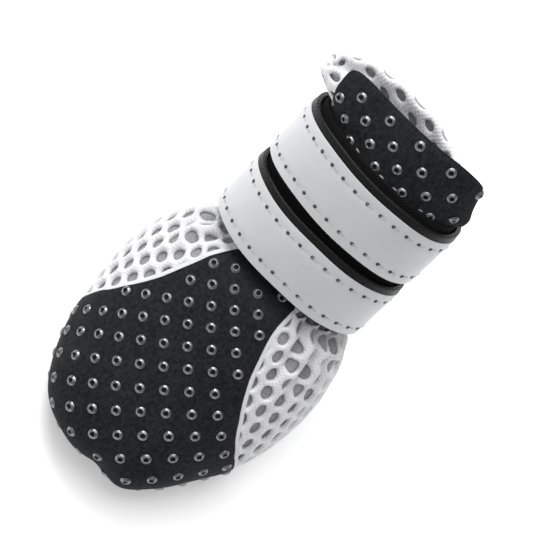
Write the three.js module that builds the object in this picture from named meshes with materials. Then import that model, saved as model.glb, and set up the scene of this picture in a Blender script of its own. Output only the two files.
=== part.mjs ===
import * as THREE from 'three';

// A small dog's boot: a soft sock-like upper on a flat oval sole, with an insole inside it, a loop
// band sewn round the shaft and two hook straps wrapped over the band.
// Millimetres. +X points to the toe, +Y to the boot's left and +Z up. The floor is Z = 0.

// ---- Driving sizes ----

const FOOT_LENGTH = 72;
const BALL_WIDTH = 52;
const INSTEP_RISE = 36;
const HEEL_RISE = 20.7;

const WALL = 1.8;
const GAP = 0.3;

const SOLE = { length: 69.2, width: 46.4, thickness: 2.2, edgeRound: 0.7, squareness: 2.2 };
const FLAT = { heelEnd: -27, toeEnd: 19 };
const SPRING = { toe: 3.2, heel: 0.8 };
const HEEL_FULLNESS = 0.06;
const TOE_SWING = { aside: -1.6, startX: -20 };
const FEATHER_INSET = 0.6;
const INSOLE_THICKNESS = 1;

// The shaft's straight axis starts inside the instep and leans back over the heel.
const SHAFT = {
  footX: -9.9, footZ: 24.4, leanDegrees: 36, halfWidth: 17.5, halfDepth: 12, squareness: 2.1,
};

const BAND = { thickness: 1, lowFront: 12, lowBack: 10.2, high: 46 };
const STRAP = { width: 15, thickness: 1.5 };
const STRAP_LOW_EDGE = { lower: 13, upper: 30 };

// Angles round the shaft: 0 is the front, 90 the boot's left and 180 the back.
const STRAP_TURN = { root: 195, end: -187.5, climbStart: -105, climbEnd: -150 };

const SEGMENTS = 48;
const RINGS_PER_ROW = 1.3;
const SIDE_LINE_TENSION = 0.35;
const SQUARE_EDGE_RINGS = 3;

// ---- Section tables ----

// Gives each row of a table its columns' names.
function table(columns, rows) {
  return rows.map((row) => Object.fromEntries(columns.map((column, i) => [column, row[i]])));
}

// Foot rows, from the sole up to the strap. front and back are the two ends of a section on the
// boot's middle plane: X as a share of half the foot's length, rise as a share of INSTEP_RISE or
// HEEL_RISE above the sole. width is a share of half the ball width. square is the squareness of
// the section, and spring is how much of the sole's toe and heel lift the row takes.
const FOOT_ROWS = table(
  ['row', 'frontX', 'frontRise', 'backX', 'backRise', 'width', 'square', 'spring'],
  [
    ['feather', 0.944, 0, -0.944, 0, 0.869, 2.2, 1],
    ['turn', 0.982, 0.05, -0.977, 0.09, 0.94, 2.2, 0.9],
    ['bulge', 1, 0.15, -1, 0.26, 0.99, 2.2, 0.6],
    ['toe top', 0.975, 0.285, -0.99, 0.44, 1, 2.2, 0.3],
    ['low vamp', 0.87, 0.42, -0.955, 0.62, 0.99, 2.15, 0.1],
    ['mid vamp', 0.69, 0.555, -0.895, 0.765, 0.965, 2.15, 0],
    ['high vamp', 0.465, 0.7, -0.82, 0.875, 0.945, 2.15, 0],
    ['instep', 0.22, 0.855, -0.75, 0.945, 0.9, 2.1, 0],
    ['throat', -0.02, 1, -0.7, 1, 0.82, 2.1, 0],
  ],
);

// Shaft rows, from under the strap to the collar. front and back are distances up the shaft's axis,
// and aside is how far the slack collar has slumped off that axis towards the boot's left.
const SHAFT_ROWS = table(
  ['row', 'front', 'back', 'halfWidth', 'halfDepth', 'square', 'aside'],
  [
    ['cinch', 11.5, 9.2, 17.4, 11.9, 2.1, 0],
    ['lower strap', 15, 14, 17.5, 12, 2.1, 0],
    ['lower strap top', 26, 26, 17.5, 12, 2.1, 0],
    ['upper strap', 36, 36, 17.5, 12, 2.1, 0],
    ['upper strap top', 44.5, 44.5, 17.5, 12, 2.1, 0],
    ['groove', 47, 46.6, 17.4, 11.7, 2.15, -0.1],
    ['flare', 50, 49.5, 18.9, 11.6, 2.3, -0.8],
    ['collar', 53.3, 52.8, 19.5, 11, 2.45, -1.4],
    ['rim', 56, 55.5, 19.5, 10.4, 2.6, -1.7],
  ],
);

// ---- Measures shared by the pieces ----

const LEAN = THREE.MathUtils.degToRad(SHAFT.leanDegrees);
const SHAFT_UP = new THREE.Vector3(-Math.sin(LEAN), 0, Math.cos(LEAN));
const SHAFT_FRONT = new THREE.Vector3(Math.cos(LEAN), 0, Math.sin(LEAN));
const SHAFT_FOOT = new THREE.Vector3(SHAFT.footX, 0, SHAFT.footZ);
const LEFT = new THREE.Vector3(0, 1, 0);

// How far the sole's underside lifts off the floor at a distance x along the boot.
function soleLift(x) {
  const toeShare = Math.max(0, (x - FLAT.toeEnd) / (SOLE.length / 2 - FLAT.toeEnd));
  const heelShare = Math.max(0, (FLAT.heelEnd - x) / (SOLE.length / 2 + FLAT.heelEnd));
  return SPRING.toe * toeShare ** 2 + SPRING.heel * heelShare ** 2;
}

// How far the toe is pressed to one side, as soft boots are.
function toeSwing(x) {
  const share = Math.max(0, x - TOE_SWING.startX) / (FOOT_LENGTH / 2 - TOE_SWING.startX);
  return TOE_SWING.aside * share ** 2;
}

// Rounded-rectangle cosine and sine: 2 gives an ellipse, more gives fuller corners.
function roundedTurn(angle, squareness) {
  const power = 2 / squareness;
  const cosine = Math.cos(angle);
  const sine = Math.sin(angle);
  return {
    along: Math.sign(cosine) * Math.abs(cosine) ** power,
    across: Math.sign(sine) * Math.abs(sine) ** power,
  };
}

// A closed section between a front and a back point, as a ring of points.
function sectionRing({ front, back, halfWidth, square, spring = 0, fullness = 0 }) {
  const middle = front.clone().add(back).multiplyScalar(0.5);
  const reach = front.clone().sub(back).multiplyScalar(0.5);
  const ring = [];
  for (let i = 0; i < SEGMENTS; i += 1) {
    const turn = roundedTurn((i / SEGMENTS) * 2 * Math.PI, square);
    const width = halfWidth * (1 - fullness * turn.along);
    const point = middle.clone()
      .addScaledVector(reach, turn.along)
      .addScaledVector(LEFT, width * turn.across);
    point.y += toeSwing(point.x);
    point.z += spring * soleLift(point.x);
    ring.push(point);
  }
  return ring;
}

// A point on the shaft's strap stretch, at a distance up its axis and out from its surface.
function shaftPoint(angle, up, out) {
  const turn = roundedTurn(angle, SHAFT.squareness);
  return SHAFT_FOOT.clone()
    .addScaledVector(SHAFT_UP, up)
    .addScaledVector(SHAFT_FRONT, (SHAFT.halfDepth + out) * turn.along)
    .addScaledVector(LEFT, (SHAFT.halfWidth + out) * turn.across);
}

// ---- Solids from rings ----

// Skins a list of point rings into one closed body. Joined ends wrap the last ring back to the
// first, as a tube bent into a hoop, and capped ends are closed by a fan to the ring's centre.
function skin(rings, ends) {
  const count = rings[0].length;
  const points = rings.flat();
  const faces = [];
  const lastRing = ends === 'joined' ? rings.length : rings.length - 1;
  for (let r = 0; r < lastRing; r += 1) {
    const here = r * count;
    const next = ((r + 1) % rings.length) * count;
    for (let i = 0; i < count; i += 1) {
      const j = (i + 1) % count;
      faces.push([here + i, here + j, next + j], [here + i, next + j, next + i]);
    }
  }
  if (ends === 'capped') {
    const lastStart = points.length - count;
    for (const start of [0, lastStart]) {
      const centre = new THREE.Vector3();
      for (let i = 0; i < count; i += 1) centre.addScaledVector(points[start + i], 1 / count);
      points.push(centre);
      for (let i = 0; i < count; i += 1) {
        const face = [start + i, start + ((i + 1) % count), points.length - 1];
        faces.push(start === 0 ? face.reverse() : face);
      }
    }
  }
  return closedGeometry(points, faces);
}

// Six times the signed volume, which is negative when the faces point inwards.
function signedVolume(points, faces) {
  return faces.reduce((sum, [a, b, c]) => sum + points[a].dot(points[b].clone().cross(points[c])), 0);
}

function closedGeometry(points, faces) {
  const outward = signedVolume(points, faces) < 0 ? faces.map((face) => face.reverse()) : faces;
  const geometry = new THREE.BufferGeometry().setFromPoints(points);
  geometry.setIndex(outward.flat());
  geometry.computeVertexNormals();
  return geometry;
}

// ---- Upper ----

function footSection(row) {
  const half = FOOT_LENGTH / 2;
  const sewnHeight = SOLE.thickness + GAP;
  return {
    front: new THREE.Vector3(row.frontX * half, 0, sewnHeight + row.frontRise * INSTEP_RISE),
    back: new THREE.Vector3(row.backX * half, 0, sewnHeight + row.backRise * HEEL_RISE),
    halfWidth: (row.width * BALL_WIDTH) / 2,
    square: row.square,
    spring: row.spring,
  };
}

function shaftSection(row) {
  const frontPoint = SHAFT_FOOT.clone().addScaledVector(SHAFT_UP, row.front);
  const backPoint = SHAFT_FOOT.clone().addScaledVector(SHAFT_UP, row.back);
  return {
    front: frontPoint.addScaledVector(SHAFT_FRONT, row.halfDepth).addScaledVector(LEFT, row.aside),
    back: backPoint.addScaledVector(SHAFT_FRONT, -row.halfDepth).addScaledVector(LEFT, row.aside),
    halfWidth: row.halfWidth,
    square: row.square,
    spring: 0,
  };
}

// Smooth curves through the rows give the outer surface's rings.
function outerRings() {
  const sections = [...FOOT_ROWS.map(footSection), ...SHAFT_ROWS.map(shaftSection)];
  const through = (pick) => new THREE.CatmullRomCurve3(sections.map(pick), false, 'centripetal');
  const frontLine = through((section) => section.front);
  const backLine = through((section) => section.back);
  const sideLine = new THREE.CatmullRomCurve3(
    sections.map((section) => new THREE.Vector3(section.halfWidth, section.square, section.spring)),
    false,
    'catmullrom',
    SIDE_LINE_TENSION,
  );
  const steps = Math.round((sections.length - 1) * RINGS_PER_ROW);
  const footShare = (FOOT_ROWS.length - 1) / (sections.length - 1);
  const rings = [];
  for (let k = 0; k <= steps; k += 1) {
    const share = k / steps;
    const side = sideLine.getPoint(share);
    rings.push(sectionRing({
      front: frontLine.getPoint(share),
      back: backLine.getPoint(share),
      halfWidth: side.x,
      square: side.y,
      spring: Math.max(0, side.z),
      fullness: HEEL_FULLNESS * Math.max(0, 1 - share / footShare),
    }));
  }
  return rings;
}

// The outward direction at one point of the outer rings. Along the sole and along the collar's rim
// it stays in the ring's own plane, so both edges of the wall are cut square.
function outwardAt(rings, k, i) {
  const ring = rings[k];
  const round = ring[(i + 1) % SEGMENTS].clone().sub(ring[(i + SEGMENTS - 1) % SEGMENTS]);
  const below = rings[Math.max(0, k - 1)][i];
  const above = rings[Math.min(rings.length - 1, k + 1)][i];
  const outward = round.clone().cross(above.clone().sub(below)).normalize();
  const fromEdge = Math.min(k, rings.length - 1 - k);
  const square = Math.max(0, 1 - fromEdge / SQUARE_EDGE_RINGS);
  const planeNormal = k < rings.length / 2 ? new THREE.Vector3(0, 0, 1) : SHAFT_UP;
  const flat = outward.clone().addScaledVector(planeNormal, -outward.dot(planeNormal)).normalize();
  return outward.lerp(flat, square).normalize();
}

function makeUpper() {
  const outer = outerRings();
  const inner = outer.map((ring, k) => ring.map((point, i) => (
    point.clone().addScaledVector(outwardAt(outer, k, i), -WALL)
  )));
  return skin([...outer, ...inner.reverse()], 'joined');
}

// ---- Sole and insole ----

// Where a plate's rings lie between its middle and its edge.
const PLATE_RINGS = [0.12, 0.36, 0.58, 0.74, 0.87];

// One closed plate: its rings run from the middle of the underside, round the edge, to the middle
// of the top. Every ring is the sole's outline, inset from the edge.
function makePlate({ inset, bottom, thickness, edgeRound }) {
  const halfLength = SOLE.length / 2 - inset;
  const halfWidth = SOLE.width / 2 - inset;
  const plateRing = (share, edgeInset, height) => sectionRing({
    front: new THREE.Vector3(share * (halfLength - edgeInset), 0, bottom + height),
    back: new THREE.Vector3(-share * (halfLength - edgeInset), 0, bottom + height),
    halfWidth: share * (halfWidth - edgeInset),
    square: SOLE.squareness,
    spring: 1,
    fullness: HEEL_FULLNESS,
  });
  const rings = [
    ...PLATE_RINGS.map((share) => plateRing(share, 0, 0)),
    plateRing(1, edgeRound, 0),
    plateRing(1, 0, edgeRound),
    plateRing(1, 0, thickness - edgeRound),
    plateRing(1, edgeRound, thickness),
    ...PLATE_RINGS.toReversed().map((share) => plateRing(share, 0, thickness)),
  ];
  return skin(rings, 'capped');
}

function makeSole() {
  return makePlate({ inset: 0, bottom: 0, thickness: SOLE.thickness, edgeRound: SOLE.edgeRound });
}

function makeInsole() {
  return makePlate({
    inset: FEATHER_INSET + WALL + GAP,
    bottom: SOLE.thickness + GAP,
    thickness: INSOLE_THICKNESS,
    edgeRound: GAP,
  });
}

// ---- Closure ----

// The band is a hoop whose lower edge dips at the back of the ankle.
function makeBand() {
  const inside = GAP;
  const outside = GAP + BAND.thickness;
  const hoop = (out, isLow) => {
    const ring = [];
    for (let i = 0; i < SEGMENTS; i += 1) {
      const angle = (i / SEGMENTS) * 2 * Math.PI;
      const backShare = (1 - Math.cos(angle)) / 2;
      const low = THREE.MathUtils.lerp(BAND.lowFront, BAND.lowBack, backShare);
      ring.push(shaftPoint(angle, isLow ? low : BAND.high, out));
    }
    return ring;
  };
  return skin([hoop(inside, true), hoop(outside, true), hoop(outside, false), hoop(inside, false)], 'joined');
}

// A strap wraps more than one full turn. It lies on the band and climbs over its own sewn root.
function makeStrap(lowEdge) {
  const restOut = GAP + BAND.thickness + GAP;
  const climb = STRAP.thickness + GAP;
  const turned = STRAP_TURN.root - STRAP_TURN.end;
  const steps = Math.round((turned / 360) * SEGMENTS);
  const stations = [];
  for (let k = 0; k <= steps; k += 1) {
    const degrees = STRAP_TURN.root - (k / steps) * turned;
    const angle = THREE.MathUtils.degToRad(degrees);
    const climbed = 1 - THREE.MathUtils.smoothstep(degrees, STRAP_TURN.climbEnd, STRAP_TURN.climbStart);
    const inside = restOut + climb * climbed;
    const outside = inside + STRAP.thickness;
    const highEdge = lowEdge + STRAP.width;
    stations.push([
      shaftPoint(angle, lowEdge, inside),
      shaftPoint(angle, lowEdge, outside),
      shaftPoint(angle, highEdge, outside),
      shaftPoint(angle, highEdge, inside),
    ]);
  }
  return skin(stations, 'capped');
}

// ---- Finishes and assembly ----

function finish(color, roughness) {
  return new THREE.MeshStandardMaterial({ color, roughness, metalness: 0 });
}

function piece(name, geometry, material) {
  const mesh = new THREE.Mesh(geometry, material);
  mesh.name = name;
  return mesh;
}

const boot = new THREE.Group();
boot.name = 'dog_boot';
boot.add(
  piece('sole', makeSole(), finish(0x4a4d52, 0.85)),
  piece('insole', makeInsole(), finish(0x2a2b2e, 0.95)),
  piece('upper', makeUpper(), finish(0xe8e8ea, 0.9)),
  piece('closure_band', makeBand(), finish(0x141414, 0.95)),
  piece('strap_lower', makeStrap(STRAP_LOW_EDGE.lower), finish(0xc9cac8, 0.55)),
  piece('strap_upper', makeStrap(STRAP_LOW_EDGE.upper), finish(0xc9cac8, 0.55)),
);

export default boot;
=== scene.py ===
# %% [markdown]
# # A small dog's boot
# The boot is a soft sock of black fabric and white spacer mesh on a thin studded sole. Two straps
# faced with reflective tape wrap over a black loop band on its shaft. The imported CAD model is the
# fixed frame: it says how big each piece is and where it sits. This script gives every piece its
# real surface. Sizes are in millimetres until a mesh is made, because a maker thinks in them.

# %% Load the frame
import math

import bmesh
import bpy
import numpy as np
from mathutils import Matrix, Vector


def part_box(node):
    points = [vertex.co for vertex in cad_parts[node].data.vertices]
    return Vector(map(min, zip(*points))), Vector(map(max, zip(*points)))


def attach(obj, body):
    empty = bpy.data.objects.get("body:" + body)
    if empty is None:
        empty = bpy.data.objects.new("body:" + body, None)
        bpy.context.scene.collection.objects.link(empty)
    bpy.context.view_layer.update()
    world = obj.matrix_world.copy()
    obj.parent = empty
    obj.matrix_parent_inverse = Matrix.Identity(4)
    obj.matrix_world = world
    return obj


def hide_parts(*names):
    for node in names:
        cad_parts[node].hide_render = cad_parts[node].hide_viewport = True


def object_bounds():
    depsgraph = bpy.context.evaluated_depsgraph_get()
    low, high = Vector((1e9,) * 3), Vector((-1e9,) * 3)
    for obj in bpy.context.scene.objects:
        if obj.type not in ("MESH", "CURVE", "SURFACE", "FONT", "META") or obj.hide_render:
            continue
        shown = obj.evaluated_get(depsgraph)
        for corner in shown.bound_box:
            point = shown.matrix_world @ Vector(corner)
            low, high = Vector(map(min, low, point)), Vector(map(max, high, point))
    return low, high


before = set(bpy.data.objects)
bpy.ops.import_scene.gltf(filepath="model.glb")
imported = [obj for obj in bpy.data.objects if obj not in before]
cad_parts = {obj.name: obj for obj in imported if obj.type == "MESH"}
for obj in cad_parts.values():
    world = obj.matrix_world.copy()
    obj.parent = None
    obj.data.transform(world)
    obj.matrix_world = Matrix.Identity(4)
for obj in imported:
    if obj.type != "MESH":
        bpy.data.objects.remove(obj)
cad_low, cad_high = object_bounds()
MM = 0.001
print("nodes:", sorted(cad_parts))
print("CAD box in mm:", [round(v / MM, 1) for v in (*cad_low, *cad_high)])

# %% [markdown]
# ## The shape of the boot
# A shoe is designed over a last, a solid foot shape. Here the last is a stack of closed sections,
# from the feather edge at the sole to the rim of the collar. Each section runs from a front point
# to a back point on the boot's middle plane, and has a half width. Smooth curves through the rows
# give a section at any height, so every fabric panel can ask for the same surface. A simpler way
# would be to copy the CAD mesh, but its facets are far too coarse for mesh fabric.

# %% The section tables
FOOT_HALF, BALL_HALF = 36.0, 26.0
INSTEP_RISE, HEEL_RISE, SEWN_HEIGHT = 36.0, 20.7, 2.5
HEEL_FULLNESS = 0.06

# front x, front rise, back x, back rise, half width (all shares), squareness, share of sole lift
FOOT_ROWS = [
    (0.944, 0, -0.944, 0, 0.869, 2.2, 1),
    (0.982, 0.05, -0.977, 0.09, 0.94, 2.2, 0.9),
    (1, 0.15, -1, 0.26, 0.99, 2.2, 0.6),
    (0.975, 0.285, -0.99, 0.44, 1, 2.2, 0.3),
    (0.87, 0.42, -0.955, 0.62, 0.99, 2.15, 0.1),
    (0.69, 0.555, -0.895, 0.765, 0.965, 2.15, 0),
    (0.465, 0.7, -0.82, 0.875, 0.945, 2.15, 0),
    (0.22, 0.855, -0.75, 0.945, 0.9, 2.1, 0),
    (-0.02, 1, -0.7, 1, 0.82, 2.1, 0),
]
# heights of the front and back points up the shaft, half width, half depth, squareness, aside
SHAFT_ROWS = [
    (11.5, 9.2, 17.4, 11.9, 2.1, 0),
    (15, 14, 17.5, 12, 2.1, 0),
    (26, 26, 17.5, 12, 2.1, 0),
    (36, 36, 17.5, 12, 2.1, 0),
    (44.5, 44.5, 17.5, 12, 2.1, 0),
    (47, 46.6, 17.4, 11.7, 2.15, -0.1),
    (50, 49.5, 18.9, 11.6, 2.3, -0.8),
    (53.3, 52.8, 19.5, 11, 2.45, -1.4),
    (56, 55.5, 19.5, 10.4, 2.6, -1.7),
]
LAST_FOOT_ROW = len(FOOT_ROWS) - 1
RIM_ROW = len(FOOT_ROWS) + len(SHAFT_ROWS) - 1

LEAN = math.radians(36)
SHAFT_UP = np.array([-math.sin(LEAN), 0, math.cos(LEAN)])
SHAFT_FRONT = np.array([math.cos(LEAN), 0, math.sin(LEAN)])
SHAFT_FOOT = np.array([-9.9, 0, 24.4])
SHAFT_HALF_WIDTH, SHAFT_HALF_DEPTH, SHAFT_SQUARE = 17.5, 12.0, 2.1
LEFT = np.array([0, 1.0, 0])
WALL = 1.8


def foot_section(front_x, front_rise, back_x, back_rise, width, square, spring):
    front = [front_x * FOOT_HALF, 0, SEWN_HEIGHT + front_rise * INSTEP_RISE]
    back = [back_x * FOOT_HALF, 0, SEWN_HEIGHT + back_rise * HEEL_RISE]
    return front, back, [width * BALL_HALF, square, spring]


def shaft_section(front_up, back_up, half_width, half_depth, square, aside):
    front = SHAFT_FOOT + SHAFT_UP * front_up + SHAFT_FRONT * half_depth + LEFT * aside
    back = SHAFT_FOOT + SHAFT_UP * back_up - SHAFT_FRONT * half_depth + LEFT * aside
    return front, back, [half_width, square, 0]


SECTIONS = [foot_section(*row) for row in FOOT_ROWS] + [shaft_section(*row) for row in SHAFT_ROWS]
FRONT_LINE, BACK_LINE, SIDE_LINE = (np.array(line, float) for line in zip(*SECTIONS))
print("sections:", len(SECTIONS))


# %% A smooth curve through rows
def curve_through(points, rows, tension=None):
    """Catmull-Rom values at rows, centripetal unless a tension is given."""
    k = np.clip(np.floor(rows).astype(int), 0, len(points) - 2)
    w = (rows - k)[:, None]
    ends = np.vstack([2 * points[0] - points[1], points, 2 * points[-1] - points[-2]])
    a, b, c, d = ends[k], ends[k + 1], ends[k + 2], ends[k + 3]
    if tension is None:
        ab, bc, cd = (np.maximum(np.sum((p - q) ** 2, axis=1) ** 0.25, 1e-4)[:, None]
                      for p, q in ((a, b), (b, c), (c, d)))
        start = ((b - a) / ab - (c - a) / (ab + bc) + (c - b) / bc) * bc
        end = ((c - b) / bc - (d - b) / (bc + cd) + (d - c) / cd) * bc
    else:
        start, end = tension * (c - a), tension * (d - b)
    return b + start * w + (-3 * b + 3 * c - 2 * start - end) * w**2 + (2 * b - 2 * c + start + end) * w**3


def smooth(low, high, value):
    share = np.clip((value - low) / (high - low), 0, 1)
    return share * share * (3 - 2 * share)


def bell(value):
    return np.exp(-(value**2))


# %% Points on the last
SOLE_HALF_LENGTH, SOLE_HALF_WIDTH, SOLE_SQUARE = 34.6, 23.2, 2.2
FLAT_TOE, FLAT_HEEL, TOE_SPRING, HEEL_SPRING = 19, -27, 3.2, 0.8
SWING_START, TOE_ASIDE = -20, -1.6
SIDE_TENSION = 0.35


def sole_lift(x):
    """How far the sole lifts off the floor at x: the toe spring and a little at the heel."""
    toe = np.maximum(0, (x - FLAT_TOE) / (SOLE_HALF_LENGTH - FLAT_TOE))
    heel = np.maximum(0, (FLAT_HEEL - x) / (SOLE_HALF_LENGTH + FLAT_HEEL))
    return TOE_SPRING * toe**2 + HEEL_SPRING * heel**2


def toe_swing(x):
    """How far the soft toe is pressed to one side at x."""
    return TOE_ASIDE * (np.maximum(0, x - SWING_START) / (FOOT_HALF - SWING_START)) ** 2


def rounded_turn(angle, square):
    """Rounded-rectangle cosine and sine."""
    cosine, sine = np.cos(angle), np.sin(angle)
    power = 2 / square
    return np.sign(cosine) * np.abs(cosine) ** power, np.sign(sine) * np.abs(sine) ** power


def last_point(row, degrees):
    """A point on the last. Angles: 0 is the front, 90 the boot's left, 180 the back."""
    row, degrees = np.broadcast_arrays(np.asarray(row, float), np.asarray(degrees, float))
    rows, angle = row.ravel(), np.radians(degrees.ravel())
    front, back = curve_through(FRONT_LINE, rows), curve_through(BACK_LINE, rows)
    half_width, square, spring = curve_through(SIDE_LINE, rows, SIDE_TENSION).T
    along, across = rounded_turn(angle, square)
    fullness = HEEL_FULLNESS * np.maximum(0, 1 - rows / LAST_FOOT_ROW)
    point = (front + back) / 2 + (front - back) / 2 * along[:, None]
    point += LEFT * (half_width * (1 - fullness * along) * across)[:, None]
    x = point[:, 0].copy()
    point[:, 1] += toe_swing(x)
    point[:, 2] += np.maximum(0, spring) * sole_lift(x)
    return point.reshape(row.shape + (3,))


def open_last(row, degrees):
    """The last, drawn straight on past its rim and below its feather edge."""
    step = 0.1
    inside = np.clip(row, 0, RIM_ROW)
    point = last_point(inside, degrees)
    past = np.broadcast_to(np.asarray(row - inside, float), point.shape[:-1])
    nearby = last_point(np.clip(inside, step, RIM_ROW - step), degrees)
    return point + (point - nearby) * (np.abs(past) / step)[..., None]


check_rows, check_angles = np.meshgrid(np.linspace(0, RIM_ROW, 200), np.arange(0, 360, 3), indexing="ij")
check_points = last_point(check_rows, check_angles).reshape(-1, 3)
upper_low, upper_high = (np.array(corner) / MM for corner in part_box("upper"))
print("last against CAD upper, mm:", np.round(check_points.min(0) - upper_low, 2),
      np.round(check_points.max(0) - upper_high, 2))

# %% [markdown]
# ## Folds, dents and slump
# Fabric is never as tidy as a last. The strap gathers the mesh into soft pleats, the empty toe
# has flats and a dent, and the collar sags to one side. Cloth simulation could find such folds by
# chance, but the real boot's folds have their own places, so each one is listed as a row of
# a table: where it is, how long and wide it is, and how deep. Every panel adds the same relief, so
# the layers stay together.

# %% The relief tables
# angle, width in degrees, first row, last row, height in mm (ridges are above 0)
FOLDS = [
    (31, 4.5, 7.4, 10.0, 0.5), (40, 3.4, 6.2, 10.0, -1.6), (48, 4.0, 5.9, 10.0, 0.9),
    (56, 3.4, 5.4, 10.0, -1.8), (64, 4.0, 5.8, 10.0, 1.0), (72, 3.4, 5.6, 10.0, -1.8),
    (81, 4.5, 6.0, 10.0, 0.9), (91, 4.5, 6.2, 10.0, -1.2), (108, 7, 6.6, 10.0, 0.6),
    (125, 9, 7.2, 10.0, 0.5), (-40, 4, 7.2, 10.0, 0.5), (-50, 4, 6.6, 10.0, -1.2),
    (-61, 5, 6.2, 10.0, 0.8), (-73, 5, 6.2, 10.0, -1.2), (-88, 7, 6.6, 10.0, 0.8),
    (-108, 8, 7.0, 10.0, -0.8), (-140, 11, 7.0, 10.0, 0.5), (158, 10, 7.0, 10.0, 0.5),
]
FOLD_RISE, FOLD_FADE, RIDGE_SHORTER = 2.2, 1.2, 0.8
# angle, width in degrees, middle row, half height in rows, height in mm
DENTS = [
    (7, 8, 1.2, 2.6, -1.1), (22, 9, 1.0, 2.8, 1.1), (54, 15, 1.4, 3.0, -1.3),
    (-32, 14, 2.0, 2.8, 0.6), (-5, 20, 5.2, 1.8, 0.5), (150, 22, 4.6, 2.2, -0.7),
    (-150, 24, 3.6, 2.4, -0.5), (-98, 20, 4.4, 2.8, 1.7), (100, 18, 3.2, 2.0, 0.5),
]
# angle, how far the slack rim has moved to the boot's right, and how far down, in mm
SLUMP_TABLE = [
    (-180, 2.6, 0.7), (-165, 3.2, 0.8), (-150, 3.9, 1.8), (-120, 3.9, 4.8), (-90, 3.2, 5.7),
    (-65, 3.0, 4.7), (-45, 2.2, 2.4), (-25, 1.1, 0.8), (0, 0.6, 0.1), (30, 0.2, 0), (60, 0, 0),
    (85, 0.3, 1.0), (105, 1.0, 3.2), (130, 1.8, 4.2), (150, 2.3, 3.6), (165, 2.5, 1.6), (180, 2.6, 0.9),
]
COLLAR_START_ROW = 13.3
# soft waves round the collar: how many, how far turned in degrees, height in mm
COLLAR_WAVES = [(3, 40, 0.35), (5, 0, 0.25)]


def turned_from(degrees, middle):
    return (np.asarray(degrees) - middle + 180) % 360 - 180


def relief(row, degrees):
    """How far the fabric stands off the last, in mm."""
    height = np.zeros(np.broadcast(row, degrees).shape)
    for middle, width, first, last, size in FOLDS:
        end = last if size < 0 else last - RIDGE_SHORTER
        length = smooth(first, first + FOLD_RISE, row) * (1 - smooth(end - FOLD_FADE, end, row))
        height += size * length * bell(turned_from(degrees, middle) / width)
    for middle, width, middle_row, half_rows, size in DENTS:
        height += size * bell(turned_from(degrees, middle) / width) * bell((row - middle_row) / half_rows)
    waves = sum(size * np.sin(np.radians(count * degrees + turned)) for count, turned, size in COLLAR_WAVES)
    return height + smooth(COLLAR_START_ROW + 0.6, RIM_ROW, row) * waves


def softened(degrees, table, half_spread):
    """A table's values at some angles, each averaged over a few degrees to both sides."""
    angles, *columns = np.array(table).T
    near = turned_from(np.ravel(degrees)[None] + np.linspace(-half_spread, half_spread, 9)[:, None], 0)
    return [np.interp(near, angles, column).mean(axis=0).reshape(np.shape(degrees)) for column in columns]


def slump(row, degrees):
    """How far the slack collar has moved off the last."""
    rise = smooth(COLLAR_START_ROW + 0.3, RIM_ROW, row)
    to_right, to_below = softened(degrees, SLUMP_TABLE, 10)
    return -LEFT * (rise * to_right)[..., None] - SHAFT_UP * (rise * to_below)[..., None]


# %% Points on the fabric
def outward_at(row, degrees):
    row_step, turn_step = 0.03, 0.5
    row = np.clip(row, 0, RIM_ROW)
    round_way = last_point(row, degrees + turn_step) - last_point(row, degrees - turn_step)
    up_way = last_point(np.minimum(row + row_step, RIM_ROW), degrees) - last_point(
        np.maximum(row - row_step, 0), degrees)
    outward = np.cross(round_way, up_way)
    return outward / np.linalg.norm(outward, axis=-1, keepdims=True)


def fabric_point(row, degrees, lift):
    """A point of a fabric layer: the last, its relief and slump, and the layer's own lift."""
    row, degrees = np.broadcast_arrays(np.asarray(row, float), np.asarray(degrees, float))
    held = np.clip(row, 0, RIM_ROW)
    off = (relief(held, degrees) + lift)[..., None]
    return open_last(row, degrees) + outward_at(held, degrees) * off + slump(held, degrees)


def shaft_point(degrees, up, out):
    """A point on the strap stretch of the shaft, up its axis and out from its surface."""
    along, across = rounded_turn(np.radians(degrees), SHAFT_SQUARE)
    up, out = np.asarray(up, float), np.asarray(out, float)
    return (SHAFT_FOOT + SHAFT_UP * up[..., None]
            + SHAFT_FRONT * ((SHAFT_HALF_DEPTH + out) * along)[..., None]
            + LEFT * ((SHAFT_HALF_WIDTH + out) * across)[..., None])


check_relief = relief(check_rows, check_angles)
print("deepest fold and highest ridge, mm:", np.round([check_relief.min(), check_relief.max()], 2))

# %% [markdown]
# ## Helpers for meshes
# Almost every piece is a grid of points: a panel, a hoop or a strip. One helper turns a grid into
# faces and another turns points in millimetres into an object in metres. Its layout is a UV map in
# true size too, so that a weave or a row of holes has its real pitch wherever it lies.

# %% Grids and objects
def in_scene(name, data):
    piece = bpy.data.objects.new(name, data)
    bpy.context.scene.collection.objects.link(piece)
    return piece


def discard(*helpers):
    for helper in helpers:
        bpy.data.objects.remove(helper)


def grid_faces(rows, columns, wrap_rows=False, wrap_columns=False):
    index = np.arange(rows * columns).reshape(rows, columns)
    if wrap_rows:
        index = np.vstack([index, index[:1]])
    if wrap_columns:
        index = np.hstack([index, index[:, :1]])
    quads = np.stack([index[:-1, :-1], index[:-1, 1:], index[1:, 1:], index[1:, :-1]], axis=-1)
    return quads.reshape(-1, 4).tolist()


def paired(first, second):
    """Pairs of values, for a layout or a profile."""
    return np.stack(np.broadcast_arrays(first, second), axis=-1)


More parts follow.
